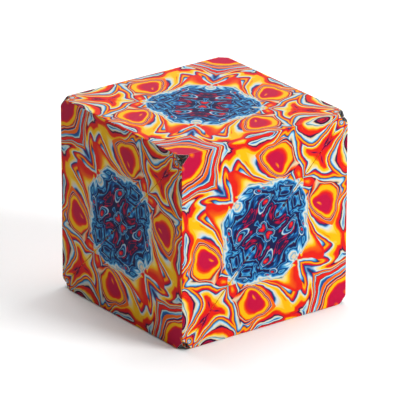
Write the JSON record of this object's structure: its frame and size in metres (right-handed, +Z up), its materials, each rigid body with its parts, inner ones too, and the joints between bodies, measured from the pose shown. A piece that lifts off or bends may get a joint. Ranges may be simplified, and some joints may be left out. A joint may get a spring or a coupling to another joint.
{
  "type": "magnetic folding puzzle cube",
  "caption": "Shape-shifting puzzle cube: a ring of hinged magnetic wedges, each half of one printed face, that folds about the cube's edges.",
  "frame": {"origin": "centre of the closed cube's lower face, which stands on z = 0", "axes": "+Z up; X and Y along the cube's edges; wedges 9 and 12 have their outer faces on the -Y side, wedges 2 and 11 on the -X side, wedges 1 and 4 on top"},
  "size_m": [0.057, 0.057, 0.057],
  "materials": {
    "black_tub": "fine moulded texture, black",
    "printed_cover": "satin laminated film printed with a mirrored marbled pattern in red, orange, yellow, cream, blue and purple",
    "magnet": "bright nickel plate"
  },
  "bodies": {
    "wedge_01": {"wedge_01_tub": "black_tub", "wedge_01_cover": "printed_cover", "wedge_01_magnet_hinge_a": "magnet", "wedge_01_magnet_hinge_b": "magnet", "wedge_01_magnet_seam": "magnet"},
    "wedge_02": {"wedge_02_tub": "black_tub", "wedge_02_cover": "printed_cover", "wedge_02_magnet_hinge_a": "magnet", "wedge_02_magnet_hinge_b": "magnet", "wedge_02_magnet_seam": "magnet"},
    "wedge_03": {"wedge_03_tub": "black_tub", "wedge_03_cover": "printed_cover", "wedge_03_magnet_hinge_a": "magnet", "wedge_03_magnet_hinge_b": "magnet", "wedge_03_magnet_seam": "magnet"},
    "wedge_04": {"wedge_04_tub": "black_tub", "wedge_04_cover": "printed_cover", "wedge_04_magnet_hinge_a": "magnet", "wedge_04_magnet_hinge_b": "magnet", "wedge_04_magnet_seam": "magnet"},
    "wedge_05": {"wedge_05_tub": "black_tub", "wedge_05_cover": "printed_cover", "wedge_05_magnet_hinge_a": "magnet", "wedge_05_magnet_hinge_b": "magnet", "wedge_05_magnet_seam": "magnet"},
    "wedge_06": {"wedge_06_tub": "black_tub", "wedge_06_cover": "printed_cover", "wedge_06_magnet_hinge_a": "magnet", "wedge_06_magnet_hinge_b": "magnet", "wedge_06_magnet_seam": "magnet"},
    "wedge_07": {"wedge_07_tub": "black_tub", "wedge_07_cover": "printed_cover", "wedge_07_magnet_hinge_a": "magnet", "wedge_07_magnet_hinge_b": "magnet", "wedge_07_magnet_seam": "magnet"},
    "wedge_08": {"wedge_08_tub": "black_tub", "wedge_08_cover": "printed_cover", "wedge_08_magnet_hinge_a": "magnet", "wedge_08_magnet_hinge_b": "magnet", "wedge_08_magnet_seam": "magnet"},
    "wedge_09": {"wedge_09_tub": "black_tub", "wedge_09_cover": "printed_cover", "wedge_09_magnet_hinge_a": "magnet", "wedge_09_magnet_hinge_b": "magnet", "wedge_09_magnet_seam": "magnet"},
    "wedge_10": {"wedge_10_tub": "black_tub", "wedge_10_cover": "printed_cover", "wedge_10_magnet_hinge_a": "magnet", "wedge_10_magnet_hinge_b": "magnet", "wedge_10_magnet_seam": "magnet"},
    "wedge_11": {"wedge_11_tub": "black_tub", "wedge_11_cover": "printed_cover", "wedge_11_magnet_hinge_a": "magnet", "wedge_11_magnet_hinge_b": "magnet", "wedge_11_magnet_seam": "magnet"},
    "wedge_12": {"wedge_12_tub": "black_tub", "wedge_12_cover": "printed_cover", "wedge_12_magnet_hinge_a": "magnet", "wedge_12_magnet_hinge_b": "magnet", "wedge_12_magnet_seam": "magnet"}
  },
  "joints": [
    {"name": "hinge_01_02", "type": "hinge", "parent": "wedge_01", "child": "wedge_02", "pos_m": [-0.0285, 0, 0.057], "axis": [0, 1, 0], "range_deg": [0, 180]},
    {"name": "hinge_02_03", "type": "hinge", "parent": "wedge_02", "child": "wedge_03", "pos_m": [-0.0285, 0.0285, 0.0285], "axis": [0, 0, 1], "range_deg": [0, 180]},
    {"name": "hinge_03_04", "type": "hinge", "parent": "wedge_03", "child": "wedge_04", "pos_m": [0, 0.0285, 0.057], "axis": [-1, 0, 0], "range_deg": [0, 180]},
    {"name": "hinge_04_05", "type": "hinge", "parent": "wedge_04", "child": "wedge_05", "pos_m": [0.0285, 0, 0.057], "axis": [0, -1, 0], "range_deg": [0, 180]},
    {"name": "hinge_05_06", "type": "hinge", "parent": "wedge_05", "child": "wedge_06", "pos_m": [0.0285, 0.0285, 0.0285], "axis": [0, 0, -1], "range_deg": [0, 180]},
    {"name": "hinge_01_12", "type": "hinge", "parent": "wedge_01", "child": "wedge_12", "pos_m": [0, -0.0285, 0.057], "axis": [-1, 0, 0], "range_deg": [0, 180]},
    {"name": "hinge_12_11", "type": "hinge", "parent": "wedge_12", "child": "wedge_11", "pos_m": [-0.0285, -0.0285, 0.0285], "axis": [0, 0, 1], "range_deg": [0, 180]},
    {"name": "hinge_11_10", "type": "hinge", "parent": "wedge_11", "child": "wedge_10", "pos_m": [-0.0285, 0, 0], "axis": [0, 1, 0], "range_deg": [0, 180]},
    {"name": "hinge_10_09", "type": "hinge", "parent": "wedge_10", "child": "wedge_09", "pos_m": [0, -0.0285, 0], "axis": [1, 0, 0], "range_deg": [0, 180]},
    {"name": "hinge_09_08", "type": "hinge", "parent": "wedge_09", "child": "wedge_08", "pos_m": [0.0285, -0.0285, 0.0285], "axis": [0, 0, -1], "range_deg": [0, 180]},
    {"name": "hinge_08_07", "type": "hinge", "parent": "wedge_08", "child": "wedge_07", "pos_m": [0.0285, 0, 0], "axis": [0, -1, 0], "range_deg": [0, 180]}
  ],
  "couplings": [
    {"joint": "hinge_02_03", "follows": "hinge_01_02", "ratio": 1},
    {"joint": "hinge_03_04", "follows": "hinge_01_02", "ratio": 1},
    {"joint": "hinge_04_05", "follows": "hinge_01_02", "ratio": 1},
    {"joint": "hinge_05_06", "follows": "hinge_01_02", "ratio": 1},
    {"joint": "hinge_01_12", "follows": "hinge_01_02", "ratio": 1},
    {"joint": "hinge_12_11", "follows": "hinge_01_02", "ratio": 1},
    {"joint": "hinge_11_10", "follows": "hinge_01_02", "ratio": 1},
    {"joint": "hinge_10_09", "follows": "hinge_01_02", "ratio": 1},
    {"joint": "hinge_09_08", "follows": "hinge_01_02", "ratio": 1},
    {"joint": "hinge_08_07", "follows": "hinge_01_02", "ratio": 1}
  ]
}
